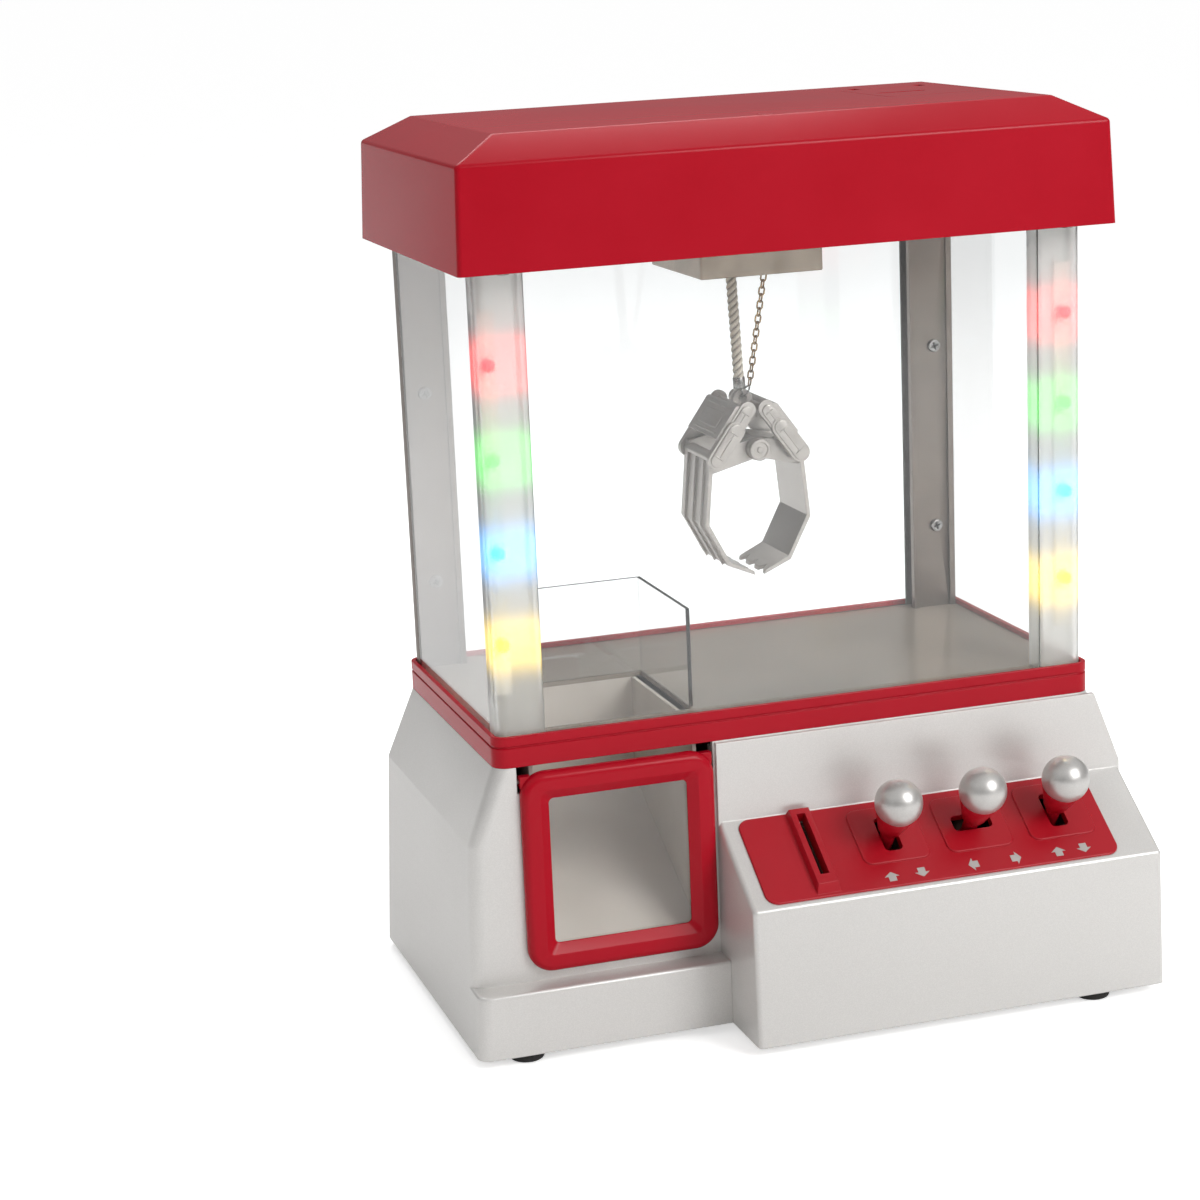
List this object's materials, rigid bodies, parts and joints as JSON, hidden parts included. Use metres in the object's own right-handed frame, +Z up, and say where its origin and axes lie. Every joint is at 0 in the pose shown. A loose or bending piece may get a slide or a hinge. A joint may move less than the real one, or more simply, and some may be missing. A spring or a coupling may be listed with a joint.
{
  "type": "claw crane machine",
  "caption": "Table-top toy claw crane: clear cabinet under a red roof, hanging claw on a gantry, joysticks, coin slot and prize door.",
  "frame": {"origin": "on the floor under the middle of the machine's bounding box", "axes": "+X to the right seen from the front, +Y to the back, +Z up"},
  "size_m": [0.2824, 0.187, 0.3579],
  "materials": {
    "red_shell": "glossy moulded",
    "silver_shell": "fine metallic",
    "clear_sheet": "clear",
    "frosted": "frosted",
    "post_silver": "satin",
    "claw_silver": "satin",
    "carriage_grey": "satin",
    "floor_grey": "satin",
    "inner_grey": "matte",
    "white_plastic": "matte",
    "black_plastic": "matte",
    "rubber_foot": "matte",
    "steel": "brushed",
    "chain_brass": "antique",
    "rope_fibre": "twisted",
    "board": "satin",
    "cell": "gloss",
    "lamp": "clear"
  },
  "bodies": {
    "cabinet": {"base_body": "silver_shell", "batteries": "cell", "battery_box": "inner_grey", "battery_cover": "inner_grey", "bottom_plate": "inner_grey", "ceiling_plate": "inner_grey", "chute_guard": "clear_sheet", "coin_box": "inner_grey", "coin_chute": "inner_grey", "column_left": "frosted", "column_right": "frosted", "control_housing": "silver_shell", "control_panel": "red_shell", "feet": "rubber_foot", "joystick_brackets": "inner_grey", "led_boards": "board", "leds": "lamp", "main_board": "board", "post_left": "post_silver", "post_right": "post_silver", "prize_floor": "floor_grey", "prize_ramp": "floor_grey", "rim_band": "red_shell", "roof_cap": "red_shell", "screws": "steel", "speaker": "black_plastic", "window_front": "clear_sheet", "window_left": "clear_sheet", "window_rear": "clear_sheet", "window_right": "clear_sheet"},
    "gantry": {"bridge_frame": "white_plastic", "bridge_rods": "steel", "gantry_motor": "steel"},
    "gantry_gear": {"gantry_pinion": "white_plastic"},
    "trolley": {"trolley_housing": "carriage_grey", "trolley_motors": "steel", "rope": "rope_fibre", "chain": "chain_brass"},
    "trolley_gear": {"trolley_pinion": "white_plastic"},
    "drum": {"hoist_drum": "white_plastic"},
    "claw_top": {"claw_head": "claw_silver"},
    "claw_middle": {"claw_hub": "claw_silver", "hub_pin": "claw_silver"},
    "claw_jaw_left": {"jaw_left": "claw_silver"},
    "claw_jaw_right": {"jaw_right": "claw_silver"},
    "claw_link_left": {"link_left": "claw_silver"},
    "claw_link_right": {"link_right": "claw_silver"},
    "stick_1": {"joystick_1_lever": "red_shell", "joystick_1_ball": "silver_shell"},
    "stick_2": {"joystick_2_lever": "red_shell", "joystick_2_ball": "silver_shell"},
    "stick_3": {"joystick_3_lever": "red_shell", "joystick_3_ball": "silver_shell"},
    "coin_switch": {"coin_lever": "white_plastic"},
    "door": {"prize_door": "red_shell", "prize_door_window": "clear_sheet", "prize_door_pins": "steel"},
    "hatch": {"hatch_lid": "red_shell", "hatch_pin": "steel"},
    "switch": {"power_switch": "black_plastic"}
  },
  "joints": [
    {"name": "gantry_slide", "type": "slide", "parent": "cabinet", "child": "gantry", "axis": [0, 1, 0], "range_m": [-0.022, 0.034]},
    {"name": "gantry_gear_turn", "type": "hinge", "parent": "gantry", "child": "gantry_gear", "pos_m": [-0.1015, 0.00755, 0.31995], "axis": [-1, 0, 0], "range_deg": [-211.08, 325.68]},
    {"name": "trolley_slide", "type": "slide", "parent": "gantry", "child": "trolley", "axis": [1, 0, 0], "range_m": [-0.062, 0.062]},
    {"name": "trolley_gear_turn", "type": "hinge", "parent": "trolley", "child": "trolley_gear", "pos_m": [-0.017, 0.0183, 0.3328], "axis": [0, 0, 1], "range_deg": [-593.06, 593.06]},
    {"name": "claw_hoist", "type": "slide", "parent": "trolley", "child": "claw_top", "axis": [0, 0, 1], "range_m": [0, 0.04], "deforming": ["rope", "chain"]},
    {"name": "drum_turn", "type": "hinge", "parent": "trolley", "child": "drum", "pos_m": [0, 0.01245, 0.3165], "axis": [-1, 0, 0], "range_deg": [-1, 333.15]},
    {"name": "claw_open", "type": "slide", "parent": "claw_top", "child": "claw_middle", "axis": [0, 0, -1], "range_m": [-0.0005, 0.0109]},
    {"name": "jaw_right_swing", "type": "hinge", "parent": "claw_middle", "child": "claw_jaw_right", "pos_m": [0, 0.00555, 0.2239], "axis": [0, -1, 0], "range_deg": [-1.61, 33.1]},
    {"name": "jaw_left_swing", "type": "hinge", "parent": "claw_middle", "child": "claw_jaw_left", "pos_m": [0, 0.00555, 0.2239], "axis": [0, 1, 0], "range_deg": [-1.61, 33.1]},
    {"name": "link_right_swing", "type": "hinge", "parent": "claw_top", "child": "claw_link_right", "pos_m": [0.004, 0.00555, 0.2399], "axis": [0, 1, 0], "range_deg": [-0.2, 1.9]},
    {"name": "link_left_swing", "type": "hinge", "parent": "claw_top", "child": "claw_link_left", "pos_m": [-0.004, 0.00555, 0.2399], "axis": [0, -1, 0], "range_deg": [-0.2, 1.9]},
    {"name": "door_swing", "type": "hinge", "parent": "cabinet", "child": "door", "pos_m": [-0.0778, -0.05085, 0.1116], "axis": [-1, 0, 0], "range_deg": [0, 45]},
    {"name": "hatch_swing", "type": "hinge", "parent": "cabinet", "child": "hatch", "pos_m": [0.0875, 0.05675, 0.3537], "axis": [-1, 0, 0], "range_deg": [0, 60]},
    {"name": "power_slide", "type": "slide", "parent": "cabinet", "child": "switch", "axis": [1, 0, 0], "range_m": [0, 0.004]},
    {"name": "coin_lever_swing", "type": "hinge", "parent": "cabinet", "child": "coin_switch", "pos_m": [0.003, -0.06945, 0.046], "axis": [0, -1, 0], "range_deg": [0, 20], "stiffness_Nm_per_rad": 0.002, "springref_deg": -5.73},
    {"name": "stick_1_tilt", "type": "hinge", "parent": "cabinet", "child": "stick_1", "pos_m": [0.0284, -0.06203, 0.06477], "axis": [1, 0, 0], "range_deg": [-15, 15], "stiffness_Nm_per_rad": 0.2},
    {"name": "stick_2_tilt", "type": "hinge", "parent": "cabinet", "child": "stick_2", "pos_m": [0.0644, -0.06203, 0.06477], "axis": [0, 0.8209, 0.5711], "range_deg": [-15, 15], "stiffness_Nm_per_rad": 0.2},
    {"name": "stick_3_tilt", "type": "hinge", "parent": "cabinet", "child": "stick_3", "pos_m": [0.1004, -0.06203, 0.06477], "axis": [1, 0, 0], "range_deg": [-15, 15], "stiffness_Nm_per_rad": 0.2}
  ],
  "couplings": [
    {"joint": "gantry_gear_turn", "follows": "gantry_slide", "rad_per_m": 166.67},
    {"joint": "trolley_gear_turn", "follows": "trolley_slide", "rad_per_m": 166.67},
    {"joint": "drum_turn", "follows": "claw_hoist", "rad_per_m": 144.93},
    {"joint": "jaw_right_swing", "follows": "claw_open", "rad_per_m": 52.84},
    {"joint": "jaw_left_swing", "follows": "claw_open", "rad_per_m": 52.84},
    {"joint": "link_right_swing", "follows": "claw_open", "rad_per_m": 2.8822},
    {"joint": "link_left_swing", "follows": "claw_open", "rad_per_m": 2.8822}
  ]
}
